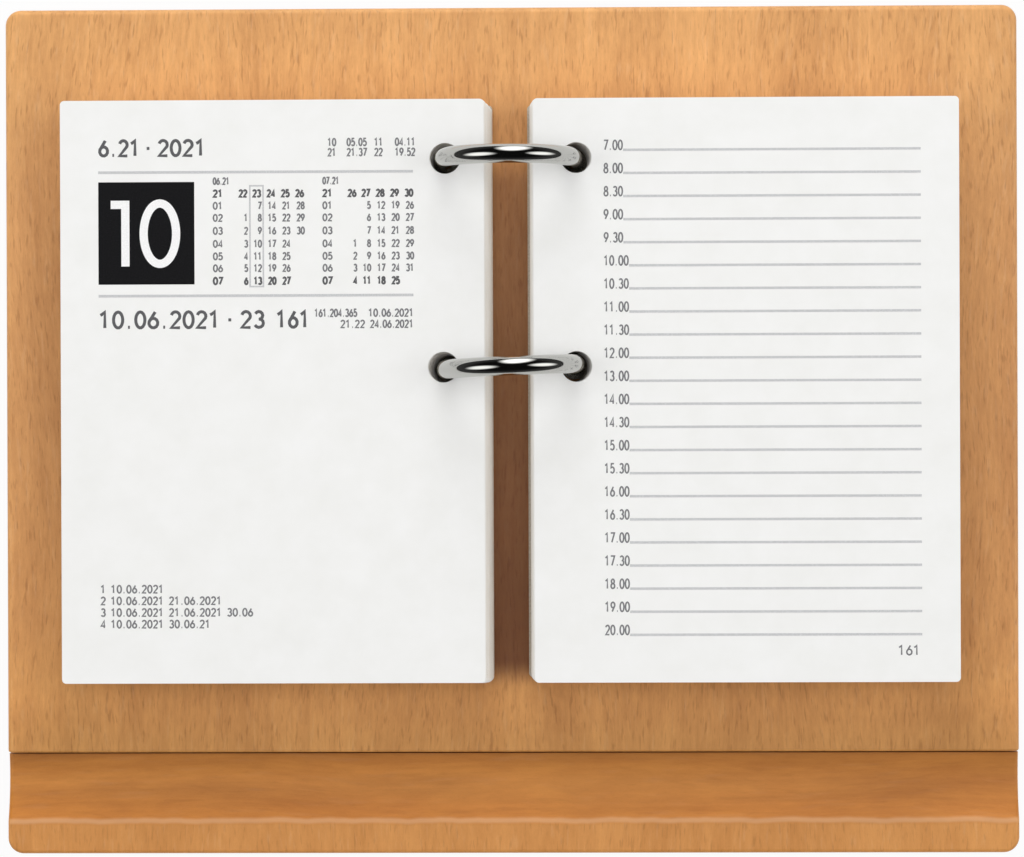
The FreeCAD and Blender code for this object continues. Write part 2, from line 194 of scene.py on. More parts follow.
def new_group(name, inputs, outputs):
    """An empty node group with named sockets. Each input gives its kind and first value."""
    tree = bpy.data.node_groups.new(name, "ShaderNodeTree")
    for label, kind, value in inputs:
        socket = tree.interface.new_socket(label, in_out="INPUT", socket_type=kind)
        if value is not None:
            socket.default_value = value
    for label, kind in outputs:
        tree.interface.new_socket(label, in_out="OUTPUT", socket_type=kind)
    return tree, tree.nodes.new("NodeGroupInput").outputs, tree.nodes.new("NodeGroupOutput").inputs


def use(group, tree, feeds):
    """Places a node group in a tree."""
    return put(tree, "ShaderNodeGroup", feeds, node_tree=group).outputs


def dress(tree, shader, **feeds):
    """Feeds the shader's inputs. Base_Color stands for the input Base Color."""
    for label, value in feeds.items():
        feed(tree, shader.inputs[label.replace("_", " ")], value)


def new_material(name, **settings):
    """A material with a Principled BSDF whose plain settings are typed in."""
    material = bpy.data.materials.new(name)
    material.use_nodes = True
    tree = material.node_tree
    shader = tree.nodes["Principled BSDF"]
    dress(tree, shader, **settings)
    return material, tree, shader


def object_millimetres(tree):
    """The object's own coordinates, in millimetres."""
    place = put(tree, "ShaderNodeTexCoord").outputs["Object"]
    return stretch(tree, place, (1 / MM, 1 / MM, 1 / MM))


print("material helpers ready")

# %% [markdown]
# ## Beech
# Beech is pale and even. What tells it from plain brown paint is its flecks: short dark strokes, one to
# three millimetres long, that run with the grain, over soft growth bands. A picture of wood would tile
# and slide, so the figure is worked out from the piece's own coordinates: noise that is pulled long
# along the grain gives bands, and finer noise, cut off at a level, gives flecks. All the wooden pieces
# share it, so it is one node group that takes the grain's direction as a vector.

# %% Beech node group
BAND_SHARE, LINE_SHARE, MOTTLE_SHARE, RIPPLE_SHARE, PORE_SHARE = 0.36, 0.18, 0.22, 0.24, 0.14
PALE_FLECK_SHARE = 0.22
FLECK_TINT, PALE_FLECK, PORE_TINT = (0.52, 0.42, 0.33, 1), (1.0, 0.76, 0.50, 1), (0.5, 0.4, 0.3, 1)

beech, given, gives = new_group(
    "beech_figure",
    [
        ("Grain place", "NodeSocketVector", None),
        ("Light", "NodeSocketColor", (0.7, 0.4, 0.2, 1)),
        ("Dark", "NodeSocketColor", (0.4, 0.2, 0.1, 1)),
        ("Band width", "NodeSocketFloat", 14.0),
        ("Fleck", "NodeSocketFloat", 0.5),
        ("Fleck length", "NodeSocketFloat", 2.2),
        ("Ripple", "NodeSocketFloat", RIPPLE_SHARE),
    ],
    [("Color", "NodeSocketColor"), ("Roughness", "NodeSocketFloat"), ("Height", "NodeSocketFloat")],
)
print("beech group takes:", [socket.name for socket in given if socket.name])

# %% Bands, lines and flecks
place = given["Grain place"]
# A slow sideways drift keeps the bands from running dead straight.
drift = noise(beech, stretch(beech, place, (0.012, 0.03, 0.03)), 1.0, 1.0)
sideways = put(beech, "ShaderNodeCombineXYZ", {"Y": sums(beech, "MULTIPLY", drift, 9.0)}).outputs[0]
place = vectors(beech, "ADD", place, sideways)
band_scale = sums(beech, "DIVIDE", 1.0, given["Band width"])
band = noise(beech, stretch(beech, place, (0.07, 1.0, 1.0)), band_scale, 2.0, 0.55)
line = noise(beech, stretch(beech, place, (0.02, 1.0, 1.0)), 0.85, 3.0, 0.6)
mottle = noise(beech, stretch(beech, place, (0.10, 0.35, 0.35)), 1.0, 2.0, 0.6)
ripple = noise(beech, stretch(beech, place, (0.30, 1.5, 1.5)), 1.0, 2.0, 0.6)
fleck_scale = sums(beech, "DIVIDE", 1.0, given["Fleck length"])
fleck_place = stretch(beech, place, (1.0, 6.5, 6.5))
fleck = remap(beech, noise(beech, fleck_place, fleck_scale, 1.5), 0.55, 0.74, smooth=True)
pale_scale = sums(beech, "MULTIPLY", fleck_scale, 0.7)
pale_fleck = remap(beech, noise(beech, fleck_place, pale_scale, 1.0), 0.56, 0.78, smooth=True)
pore = noise(beech, stretch(beech, place, (1.6, 9.0, 9.0)), 1.0, 2.0, 0.6)
print("beech group so far:", len(beech.nodes), "nodes")

# %% Beech colour, polish and height
tone = sums(beech, "MULTIPLY", remap(beech, band, 0.32, 0.68), BAND_SHARE)
for layer, share in ((line, LINE_SHARE), (mottle, MOTTLE_SHARE), (ripple, given["Ripple"])):
    tone = sums(beech, "ADD", tone, sums(beech, "MULTIPLY", remap(beech, layer, 0.30, 0.70), share))
shade = mix(beech, tone, given["Light"], given["Dark"])
fleck_amount = sums(beech, "MULTIPLY", fleck, given["Fleck"])
shade = mix(beech, fleck_amount, shade, FLECK_TINT, "MULTIPLY")
pale_share = sums(beech, "MULTIPLY", given["Fleck"], PALE_FLECK_SHARE)
shade = mix(beech, sums(beech, "MULTIPLY", pale_fleck, pale_share), shade, PALE_FLECK)
pore_amount = sums(beech, "MULTIPLY", remap(beech, pore, 0.5, 0.75), PORE_SHARE)
shade = mix(beech, pore_amount, shade, PORE_TINT, "MULTIPLY")
# Flecks and pores lie a little below the surface.
fleck_dip, pore_dip = sums(beech, "MULTIPLY", fleck, -0.5), sums(beech, "MULTIPLY", pore, -0.6)
feed(beech, gives["Color"], shade)
feed(beech, gives["Roughness"], remap(beech, line, 0.3, 0.7, 0.34, 0.44))
feed(beech, gives["Height"], sums(beech, "ADD", fleck_dip, pore_dip))
print("beech group:", len(beech.nodes), "nodes")

# %% [markdown]
# ## Finishing the wood
# The board's grain runs from front to rear, the drawer front's along its length, and the rails' along
# themselves. Reordering the coordinates so that the grain always comes first lets one group serve all
# of them. The lacquer is satin: a modest roughness, and a thin coat.

# %% Wood helpers
ALONG_X, ALONG_Y = ("X", "Y", "Z"), ("Y", "X", "Z")
GRAIN_RELIEF = 0.1 * MM


def grain_first(tree, order, shift):
    """Object coordinates in millimetres, reordered so that the grain's direction comes first."""
    parts = split(tree, vectors(tree, "ADD", object_millimetres(tree), shift))
    feeds = {index: parts[axis] for index, axis in enumerate(order)}
    return put(tree, "ShaderNodeCombineXYZ", feeds).outputs[0]


def wood_figure(tree, order, light, dark, shift=(0, 0, 0), band=14.0, fleck=0.26, length=3.0,
                ripple=RIPPLE_SHARE):
    """The outputs of the beech group, with the grain along the first axis of the order."""
    return use(beech, tree, {
        "Grain place": grain_first(tree, order, shift), "Light": light, "Dark": dark,
        "Band width": band, "Fleck": fleck, "Fleck length": length, "Ripple": ripple,
    })


def wood_material(name, order, light, dark, coat=0.06, rough=0.0, **figure_settings):
    """Wood with one figure all over. The figure's own settings are passed on to it."""
    lacquer = {"Coat_Weight": coat, "Coat_Roughness": 0.28, "Specular_IOR_Level": 0.35}
    material, tree, shader = new_material(name, **lacquer)
    figure = wood_figure(tree, order, light, dark, **figure_settings)
    roughness = sums(tree, "ADD", figure["Roughness"], rough)
    relief = bumped(tree, figure["Height"], 0.10, GRAIN_RELIEF)
    dress(tree, shader, Base_Color=figure["Color"], Roughness=roughness, Normal=relief)
    return material, tree, shader, figure["Color"]


def finish(node, material):
    """Gives a CAD node its material."""
    target = nodes[node]
    target.data.materials.clear()
    target.data.materials.append(material)


print("wood helpers ready")

# %% [markdown]
# ### The board
# The board's colour holds painted light and shade: it is palest at the rear, where painted light falls,
# browner in the middle and at its front edge, with painted shadow in front of the piles and beside them,
# and darkest between the piles, in painted shade. A painted picture could show that, but each new size of
# board would need a new one. So every change of tone follows the board's own X or Y.

# %% Changes of tone


def ramp(tree, value, stops):
    """A colour that follows straight lines between stops, each a place and three levels."""
    low, high = stops[0][0], stops[-1][0]
    item = put(tree, "ShaderNodeValToRGB", {0: remap(tree, value, low, high)})
    spots = item.color_ramp.elements
    while len(spots) < len(stops):
        spots.new(1.0)
    for spot, (where, red, green, blue) in zip(spots, stops):
        spot.position = (where - low) / (high - low)
        spot.color = (red, green, blue, 1)
    return item.outputs[0]


def between(tree, value, low, high, soft):
    """A mask that is 1 between two places and fades to 0 outside them."""
    rise = remap(tree, value, low - soft, low + soft, smooth=True)
    fall = remap(tree, value, high - soft, high + soft, 1.0, 0.0, smooth=True)
    return sums(tree, "MULTIPLY", rise, fall)


print("ramps and masks ready")

# %% The board's wood
BOARD = colour(242, 185, 120), colour(192, 136, 82)
# A stop is a place in millimetres, and what red, green and blue are multiplied by.
# Painted light and shade: palest at the rear, darker at the front, where the piles' shadow is painted.
PAINTED_SHADE_FRONT_TO_REAR = ((-60.0, 0.80, 0.72, 0.55), (-56.0, 0.83, 0.74, 0.58), (-52.0, 0.94, 0.85, 0.69),
                 (-49.5, 0.94, 0.86, 0.71), (-36.0, 0.88, 0.81, 0.72), (0.0, 0.83, 0.77, 0.72),
                 (48.0, 0.90, 0.86, 0.84), (70.0, 1.03, 1.0, 0.96))
PAINTED_SHADE_MIDDLE_TO_RIM = ((78.0, 1.0, 1.0, 1.0), (85.0, 0.93, 0.93, 0.92), (91.0, 1.0, 1.0, 1.0),
                 (97.5, 1.11, 1.10, 1.12))
GAP_HALF, GAP_FRONT, GAP_REAR = 5.5, -47.0, 50.0
GAP_SHADE_BROWN = (0.12, 0.032, 0.017, 1)

board_wood, tree, shader, board_tone = wood_material("beech_board", ALONG_Y, *BOARD, fleck=0.42)
parts = split(tree, object_millimetres(tree))
board_tone = tinted(tree, board_tone, ramp(tree, parts["Y"], PAINTED_SHADE_FRONT_TO_REAR))
# Outside the piles, the strip beside the paper gets painted shade and the rims painted light;
# both fade out towards the rear.
shade_beside_piles = ramp(tree, sums(tree, "ABSOLUTE", parts["X"]), PAINTED_SHADE_MIDDLE_TO_RIM)
shade_beside_piles = mix(tree, remap(tree, parts["Y"], 64.0, 40.0), (1, 1, 1, 1), shade_beside_piles)
board_tone = tinted(tree, board_tone, shade_beside_piles)
# Painted shade in the narrow gap between the piles, deeper towards the front.
in_gap = between(tree, parts["X"], -GAP_HALF, GAP_HALF, 1.5)
along_gap = between(tree, parts["Y"], GAP_FRONT, GAP_REAR, 3.0)
towards_front = remap(tree, parts["Y"], -45.0, 62.0, 0.77, 0.36)
ink_wear_and_gap_shade = sums(tree, "MULTIPLY", sums(tree, "MULTIPLY", in_gap, along_gap), towards_front)
dress(tree, shader, Base_Color=mix(tree, ink_wear_and_gap_shade, board_tone, GAP_SHADE_BROWN))
finish("top_board", board_wood)
print("board:", len(tree.nodes), "nodes")

# %% [markdown]
# ### The drawer's front
# This is one piece of wood with three looks: a quiet, redder figure in the cut groove, with painted shade
# towards the seam, the board's own figure on the lip, and between them a narrow crest with a painted
# highlight. Three materials would part it with hard lines, so one material changes its tone with Y, and
# noise makes the crest waver. The two end faces stay one tone from front to rear.

# %% The drawer front's wood
COVE = colour(221, 147, 66), colour(176, 105, 42)
LIP = colour(227, 160, 90), colour(198, 132, 67)
# Painted shade: the groove darkens towards the seam, where the board's edge shades it, and grows a little
# lighter as it rises to the lip.
COVE_SHADE = ((-76.0, 1.04, 0.98, 0.86), (-69.0, 1.0, 1.0, 1.0), (-65.0, 0.93, 0.94, 0.97),
         (-62.3, 0.83, 0.85, 0.97))
COVE_FRONT, LIP_REAR = -75.2, -76.2
LIP_LOW, FACE_HIGH = 33.5, 32.6
CREST_FRONT, CREST_REAR, CREST_SOFT = -75.65, -74.70, 0.35
HIGHLIGHT_PALE = (0.88, 0.55, 0.30, 1)
FRONT_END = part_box("drawer_front")[1].x / MM

# A cutter leaves the groove smoother than the faces: less ripple, and long soft streaks instead.
front_wood, tree, shader, cove_tone = wood_material(
    "beech_front", ALONG_X, *COVE, coat=0.0,
    shift=(17, 3, 5), band=8.0, fleck=0.12, length=6.0, ripple=0.12)
lip_tone, face_tone = (
    wood_figure(tree, order, *LIP, shift=(4, 0, 7), band=9.0, fleck=0.3)["Color"]
    for order in (ALONG_Y, ALONG_X))
place = object_millimetres(tree)
parts = split(tree, place)
waver = noise(tree, stretch(tree, place, (0.12, 0.0, 0.0)), 1.0, 2.0)
streak = noise(tree, stretch(tree, place, (0.03, 0.22, 0.22)), 1.0, 2.0)
front_y = sums(tree, "ADD", parts["Y"], remap(tree, waver, 0.3, 0.7, -0.25, 0.25))
cove_tone = tinted(tree, cove_tone, ramp(tree, front_y, COVE_SHADE))
cove_tone = tinted(tree, cove_tone, remap(tree, streak, 0.3, 0.7, 0.89, 0.99))
# On top of the lip the grain runs from front to rear, and on the face below it along the front.
lip_tone = mix(tree, remap(tree, parts["Z"], LIP_LOW, FACE_HIGH), lip_tone, face_tone)
front_tone = mix(tree, remap(tree, front_y, COVE_FRONT, LIP_REAR, smooth=True), cove_tone, lip_tone)
# A painted highlight along the crest, where its rounded edge catches the light.
crest_highlight = sums(tree, "MULTIPLY", between(tree, front_y, CREST_FRONT, CREST_REAR, CREST_SOFT), 0.40)
front_tone = mix(tree, crest_highlight, front_tone, HIGHLIGHT_PALE)
at_end = remap(tree, sums(tree, "ABSOLUTE", parts["X"]), FRONT_END - 0.3, FRONT_END - 0.1)
dress(tree, shader, Base_Color=mix(tree, at_end, front_tone, face_tone))
finish("drawer_front", front_wood)
print("drawer front:", len(tree.nodes), "nodes, ends at", round(FRONT_END, 1), "mm")

# %% [markdown]
# ### The other wood
# The rails are lacquered like the board. Inside, the drawer, its runners and the plywood panels stay
# raw, so they are paler and duller. One figure would do for all, but pieces cut from different boards
# never match, so each kind of piece reads the figure at a shift of its own.

# %% Rails, drawer and panels
CASE = colour(236, 172, 104), colour(192, 131, 75)
RAW = colour(236, 202, 160), colour(210, 172, 128)
STRIP = colour(226, 188, 142), colour(196, 156, 112)
PLY = colour(232, 198, 156), colour(206, 168, 126)

rail_wood = wood_material("beech_rail", ("Y", "Z", "X"), *CASE, shift=(31, 7, 0))[0]
back_wood = wood_material("beech_back_rail", ("X", "Z", "Y"), *CASE, shift=(9, 0, 4))[0]
unlacquered = {"coat": 0.0, "rough": 0.2, "band": 12.0}
drawer_wood = wood_material("drawer_wood", ALONG_Y, *RAW, shift=(3, 40, 9), **unlacquered)[0]
drawer_back_wood = wood_material("drawer_back_wood", ALONG_X, *RAW, shift=(23, 4, 9), **unlacquered)[0]
thin_strip = {"coat": 0.0, "rough": 0.1, "shift": (5, 5, 5), "band": 6.0}
runner_wood = wood_material("runner_wood", ALONG_Y, *STRIP, **thin_strip)[0]
batten_wood = wood_material("batten_wood", ALONG_X, *STRIP, **thin_strip)[0]
plywood = wood_material("plywood", ALONG_X, *PLY, coat=0.0, rough=0.2,
                        shift=(0, 11, 2), band=26.0, fleck=0.2)[0]

WOODEN = {
    "left_rail": rail_wood, "right_rail": rail_wood, "back_rail": back_wood,
    "drawer_left_side": drawer_wood, "drawer_right_side": drawer_wood, "drawer_back": drawer_back_wood,
    "left_runner": runner_wood, "right_runner": runner_wood, "stop_batten": batten_wood,
    "bottom_panel": plywood, "drawer_bottom": plywood,
}
for node_name, material in WOODEN.items():
    finish(node_name, material)
print("wood materials:", [material.name for material in bpy.data.materials])

# %% [markdown]
# ## Felt, card and metal
# Felt is a mat of fibres, so its colour and height both come from tangled noise, with sheen at a
# glancing angle. Grey-white card is flecked pulp. Chrome, nickel and zinc differ in tint and polish:
# chrome is nearly a mirror, nickel softer, and zinc dull and mottled.

# %% Felt and card
felt, tree, shader = new_material("felt", Roughness=0.95, Sheen_Weight=0.6, Sheen_Roughness=0.5)
fibre = noise(tree, stretch(tree, object_millimetres(tree), (3.0, 5.0, 4.0)), 1.0, 4.0, 0.7)
felt_tone = mix(tree, remap(tree, fibre, 0.3, 0.7), colour(58, 50, 44), colour(94, 82, 72))
dress(tree, shader, Base_Color=felt_tone, Normal=bumped(tree, fibre, 0.6, 0.2 * MM))

card, tree, shader = new_material("card", Roughness=0.9)
pulp = noise(tree, object_millimetres(tree), 2.2, 4.0, 0.7)
card_tone = mix(tree, remap(tree, pulp, 0.35, 0.65), colour(206, 202, 192), colour(184, 178, 166))
dress(tree, shader, Base_Color=card_tone, Normal=bumped(tree, pulp, 0.2, 0.1 * MM))
for node_name, material in (("felt_feet", felt), ("cover_card", card), ("back_card", card)):
    finish(node_name, material)
print("felt and card:", felt.name, card.name)

# %% Metals


def metal_material(name, tint, rough_low, rough_high, scratch_scale, bump):
    """Metal with smudges in its tint and fine scratches in its polish."""
    material, tree, shader = new_material(name, Metallic=1.0)
    place = object_millimetres(tree)
    smudge = noise(tree, place, 0.25, 3.0, 0.6)
    scratch = noise(tree, stretch(tree, place, scratch_scale), 1.0, 3.0, 0.6)
    dull = tuple(v * 0.8 for v in tint[:3]) + (1.0,)
    dress(tree, shader, Base_Color=mix(tree, sums(tree, "MULTIPLY", smudge, 0.25), tint, dull),
          Roughness=remap(tree, scratch, 0.35, 0.65, rough_low, rough_high))
    if bump:
        dress(tree, shader, Normal=bumped(tree, scratch, bump, 0.02 * MM))
    return material


chrome = metal_material("chrome_wire", (0.54, 0.54, 0.52, 1), 0.04, 0.08, (0.8, 6.0, 6.0), 0.0)
nickel = metal_material("socket_nickel", (0.66, 0.64, 0.60, 1), 0.20, 0.34, (6.0, 6.0, 1.0), 0.1)
zinc = metal_material("screw_zinc", (0.80, 0.80, 0.78, 1), 0.32, 0.5, (4.0, 4.0, 4.0), 0.2)
finish("ring_sockets", nickel)
finish("panel_screws", zinc)
print("metals:", chrome.name, nickel.name, zinc.name)

# %% [markdown]
# ## Paper
# A leaf's face is white, with a faint cloudiness of its fibres, and hardly any shine. The edges of a
# pile are another thing: a hundred cut leaves show as fine lines, some darker, some set back, and
# yellower towards the foot. So a pile has two materials, one for faces and one for edges.

# %% Paper
leaf_paper, tree, shader = new_material("leaf_paper", Roughness=0.82, Specular_IOR_Level=0.25)
place = object_millimetres(tree)
cloud = noise(tree, place, 0.12, 3.0, 0.6)
fibres = noise(tree, place, 2.5, 3.0, 0.6)
paper_tone = mix(tree, remap(tree, cloud, 0.3, 0.7), colour(244, 244, 243), colour(240, 240, 238))
dress(tree, shader, Base_Color=paper_tone, Normal=bumped(tree, fibres, 0.05, 0.05 * MM))
finish("turning_leaf", leaf_paper)

leaf_edge, tree, shader = new_material("leaf_edge", Roughness=0.9, Specular_IOR_Level=0.2)
place = object_millimetres(tree)
sheet_line = noise(tree, stretch(tree, place, (0.02, 0.02, 9.0)), 1.0, 2.0, 0.7)
sheet_band = noise(tree, stretch(tree, place, (0.01, 0.01, 0.8)), 1.0, 2.0, 0.5)
edge_tone = mix(tree, remap(tree, sheet_line, 0.30, 0.62), colour(214, 206, 194), colour(250, 248, 243))
edge_tone = mix(tree, remap(tree, sheet_band, 0.35, 0.65, 0.0, 0.5), edge_tone, colour(240, 228, 210))
FOOT_TO_TOP = ((35.0, 1.0, 0.90, 0.76), (49.0, 1.0, 0.98, 0.95))
edge_tone = tinted(tree, edge_tone, ramp(tree, split(tree, place)["Z"], FOOT_TO_TOP))
dress(tree, shader, Base_Color=edge_tone, Normal=bumped(tree, sheet_line, 0.5, 0.1 * MM))
print("paper:", leaf_paper.name, leaf_edge.name)

# %% Ink


def ink_material(name, tone):
    """Ink that is a little paler where it took badly."""
    material, tree, shader = new_material(name, Roughness=0.8, Specular_IOR_Level=0.15)
    ink_wear_and_gap_shade = noise(tree, object_millimetres(tree), 4.0, 2.0, 0.6)
    paler = tuple(min(1.0, v * 1.25 + 0.004) for v in tone[:3]) + (1.0,)
    dress(tree, shader, Base_Color=mix(tree, remap(tree, ink_wear_and_gap_shade, 0.45, 0.75), tone, paler))
    return material


black_ink = ink_material("black_ink", colour(20, 20, 22))
dark_ink = ink_material("dark_ink", colour(92, 92, 94))
grey_ink = ink_material("grey_ink", colour(119, 119, 122))
rule_ink = ink_material("rule_ink", colour(195, 195, 197))
blank_ink = ink_material("knocked_out_white", colour(242, 242, 242))
print("materials so far:", len(bpy.data.materials))

# %% [markdown]
# ## Putting a surface into Blender
# Each new piece is worked out with numpy as arrays of points and faces, then handed to the mesh in one
# go. The piece's place is in its points, so its object stays at the origin like a CAD node's.

# %% Mesh helpers


def new_piece(name, points, faces, materials, body, smooth=False, face_materials=None):
    """Makes an object from arrays, rides it on a body, and gives it its materials."""
    mesh = bpy.data.meshes.new(name)
    mesh.from_pydata(np.asarray(points, float).tolist(), [], [tuple(map(int, face)) for face in faces])
    for material in materials:
        mesh.materials.append(material)
    if face_materials is not None:
        mesh.polygons.foreach_set("material_index", np.asarray(face_materials, np.int32))
    mesh.polygons.foreach_set("use_smooth", [smooth] * len(mesh.polygons))
    mesh.validate()
    mesh.update()
    piece = bpy.data.objects.new(name, mesh)
    bpy.context.scene.collection.objects.link(piece)
    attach(piece, body)
    return piece


def grid_faces(rows, columns):
    """Quads between neighbours of a grid counted row by row. Each row's last point joins its first."""
    row, column = (a.ravel() for a in np.meshgrid(np.arange(rows - 1), np.arange(columns), indexing="ij"))
    next_column = (column + 1) % columns
    return np.stack([row * columns + column, (row + 1) * columns + column,
                     (row + 1) * columns + next_column, row * columns + next_column], 1)


def close_seams(piece):
    """Merges doubled points, such as a pole's, and turns every face outwards."""
    work = bmesh.new()
    work.from_mesh(piece.data)
    bmesh.ops.remove_doubles(work, verts=work.verts, dist=1e-7)
    bmesh.ops.dissolve_degenerate(work, edges=work.edges, dist=1e-8)
    bmesh.ops.recalc_face_normals(work, faces=work.faces)
    work.to_mesh(piece.data)
    work.free()


print("mesh helpers ready")

# %% [markdown]
# ## The two piles of leaves
# Each pile is more than a hundred loose leaves. They are pressed flat, but no two lie exactly on each
# other, and the pile leans towards the outside as it rises. Modelling every leaf would cost a lot of
# faces for lines too fine to see, and one block would look like a slab of plastic. The middle way is to
# stack packets of a few leaves, each nudged by up to a tenth of a millimetre. A leaf's outline is a
# rectangle with rounded corners and two punched holes: three closed curves. The flat between them is
# filled once, and every packet reuses that filling.

# %% Leaf outline
LEAF_WIDTH, LEAF_HEIGHT = 80.0 * MM, 110.0 * MM
LEAF_CORNER = 0.8 * MM
HOLE_RADIUS = 2.9 * MM
HOLE_FROM_INNER = 8.1 * MM
LEAF_REAR_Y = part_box("turning_leaf")[1].y
LEAF_INNER_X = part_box("turning_leaf")[0].x
BOWS = ("rear_bow", "front_bow")
BOW_Y = {bow: sum(corner.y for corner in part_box(bow)) / 2 for bow in BOWS}
BOW_X = {bow: sum(corner.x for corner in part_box(bow)) / 2 for bow in BOWS}


def corner_arc(centre_x, centre_y, start, count=6):
    """A quarter circle: the centre plus the radius times (cos, sin) of an angle that grows by 90."""
    angle = np.radians(np.linspace(start, start + 90, count))
    return np.stack([centre_x + LEAF_CORNER * np.cos(angle), centre_y + LEAF_CORNER * np.sin(angle)], 1)


def leaf_outline():
    """The right-hand leaf's edge, anticlockwise from its inner front corner, X from its inner edge."""
    near_y, far_y = LEAF_REAR_Y - LEAF_HEIGHT + LEAF_CORNER, LEAF_REAR_Y - LEAF_CORNER
    near_x, far_x = LEAF_CORNER, LEAF_WIDTH - LEAF_CORNER
    return np.concatenate([corner_arc(near_x, near_y, 180), corner_arc(far_x, near_y, 270),
                           corner_arc(far_x, far_y, 0), corner_arc(near_x, far_y, 90)])


def hole_outline(centre_y, count=40):
    """A punched hole, clockwise, so that the paper lies on the same side of every edge."""
    angle = -np.linspace(0, 2 * np.pi, count, endpoint=False)
    x = HOLE_FROM_INNER + HOLE_RADIUS * np.cos(angle)
    return np.stack([x, centre_y + HOLE_RADIUS * np.sin(angle)], 1)


print("outline points:", len(leaf_outline()), "holes at Y:", [round(y / MM, 1) for y in BOW_Y.values()])

# %% Filling a leaf and walling it in


def filled(loops):
    """Triangles that fill the first loop and leave the others open, anticlockwise from above."""
    flat = np.concatenate(loops)
    fill = np.array(tessellate_polygon([[Vector((x, y, 0)) for x, y in loop] for loop in loops]))
    first, second, third = flat[fill[0]]
    return fill if np.cross(second - first, third - first) > 0 else fill[:, ::-1]


def wall_faces(loops, low_start, high_start):
    """Quads that join each loop at the foot to the same loop at the top."""
    faces, start = [], 0
    for loop in loops:
        at = start + np.arange(len(loop))
        after = start + (np.arange(len(loop)) + 1) % len(loop)
        faces.append(np.stack([low_start + at, low_start + after, high_start + after, high_start + at], 1))
        start += len(loop)
    return np.concatenate(faces)


print("a leaf without holes is filled by", len(filled([leaf_outline()])), "triangles")

# %% The piles
PACKETS = 25
LEAN = LEAF_INNER_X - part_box("coming_leaves")[0].x
STACK_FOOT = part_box("coming_leaves")[0].z
STACK_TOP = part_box("coming_leaves")[1].z
NUDGE = 0.09 * MM
draws = np.random.default_rng(7)


def leaf_pile(name, node, side, hole_shifts, reach, bulge, slide):
    """Packets of leaves, each moved by the pile's lean at its height and by a small random nudge.

    The lean grows with (height / full height) to the power bulge, up to its reach at the top. The foot
    also slides forwards. Each hole's shift fades towards the foot.
    """
    loops = [leaf_outline()] + [hole_outline(BOW_Y[bow]) for bow in BOWS]
    flat = np.concatenate(loops)
    shifts = (0.0, *hole_shifts)
    hole_moves = np.concatenate([np.full(len(loop), shift) for loop, shift in zip(loops, shifts)])
    fill = filled(loops)
    count = len(flat)
    heights = np.linspace(STACK_FOOT, STACK_TOP, PACKETS + 1)
    nudges = draws.normal(0, NUDGE / 2, (PACKETS, 2)).clip(-NUDGE, NUDGE)
    nudges[-1] = 0
    points, faces, kinds = [], [], []
    for index in range(PACKETS):
        bend = ((index + 0.5) / PACKETS) ** bulge
        lean = LEAF_INNER_X - reach * (1 - bend)
        moved = flat + (lean + nudges[index, 0], nudges[index, 1] - slide * (1 - bend))
        moved[:, 0] += hole_moves * bend
        for height in heights[index:index + 2]:
            points.append(np.column_stack([moved, np.full(count, height)]))
        # Faces between packets can't be seen, but each packet is closed, as real paper is.
        foot = 2 * index * count
        walls = wall_faces(loops, foot, foot + count)
        faces += (fill[:, ::-1] + foot).tolist() + (fill + foot + count).tolist() + walls.tolist()
        kinds += [0] * (2 * len(fill)) + [1] * len(walls)
    points = np.concatenate(points)
    if side < 0:
        points[:, 0] *= -1
        faces = [face[::-1] for face in faces]
    materials = [leaf_paper, leaf_edge]
    pile = new_piece(name, points, faces, materials, "stand", face_materials=kinds)
    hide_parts(node)
    print(name, "faces:", len(faces))


leaf_pile("coming_leaf_pile", "coming_leaves", 1, (0.0, 0.0), 0.65 * LEAN, 1.6, 0.0)
leaf_pile("past_leaf_pile", "past_leaves", -1, (-0.8 * MM, -0.35 * MM), LEAN, 1.8, 0.6 * MM)

# %% [markdown]
# ## The bows
# Each bow is one length of round wire, bent to a half circle with two straight legs. Chrome shows every
# facet, so the bow is a fine tube: a circle of wire section carried along the path. The section is
# turned with the path, which lies in one upright plane, so it never twists.

# %% A bow's path
WIRE_RADIUS = 1.8 * MM
BOW_RADIUS = 12.1 * MM
BOW_TURN = {"rear_bow": 0.0, "front_bow": 2.2}
SECTION_POINTS = 48
ARC_POINTS = 97
TIP_CHAMFER = 0.5 * MM
TURN_Z = sum(corner.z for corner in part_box("turning_leaf")) / 2


def bow_path(foot_z):
    """Places and directions along the wire: up one leg, round the half circle, and down the other."""
    angle = np.linspace(np.pi, 0, ARC_POINTS)
    arc = np.column_stack([BOW_RADIUS * np.cos(angle), TURN_Z + BOW_RADIUS * np.sin(angle)])
    way = np.column_stack([np.sin(angle), -np.cos(angle)])
    leg = foot_z + np.array([0, 0, TIP_CHAMFER, 0.35 * (TURN_Z - foot_z), 0.7 * (TURN_Z - foot_z)])
    up = np.column_stack([np.full(len(leg), -BOW_RADIUS), leg])
    down = np.column_stack([np.full(len(leg), BOW_RADIUS), leg[::-1]])
    path = np.concatenate([up, arc, down])
    ways = np.concatenate([np.tile([0.0, 1.0], (len(leg), 1)), way, np.tile([0.0, -1.0], (len(leg), 1))])
    radii = np.full(len(path), WIRE_RADIUS)
    radii[[0, -1]] = 0
    radii[[1, -2]] = WIRE_RADIUS - TIP_CHAMFER
    return path, ways, radii


print("places along a bow:", len(bow_path(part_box("rear_bow")[0].z)[0]))

# %% Bow tubes


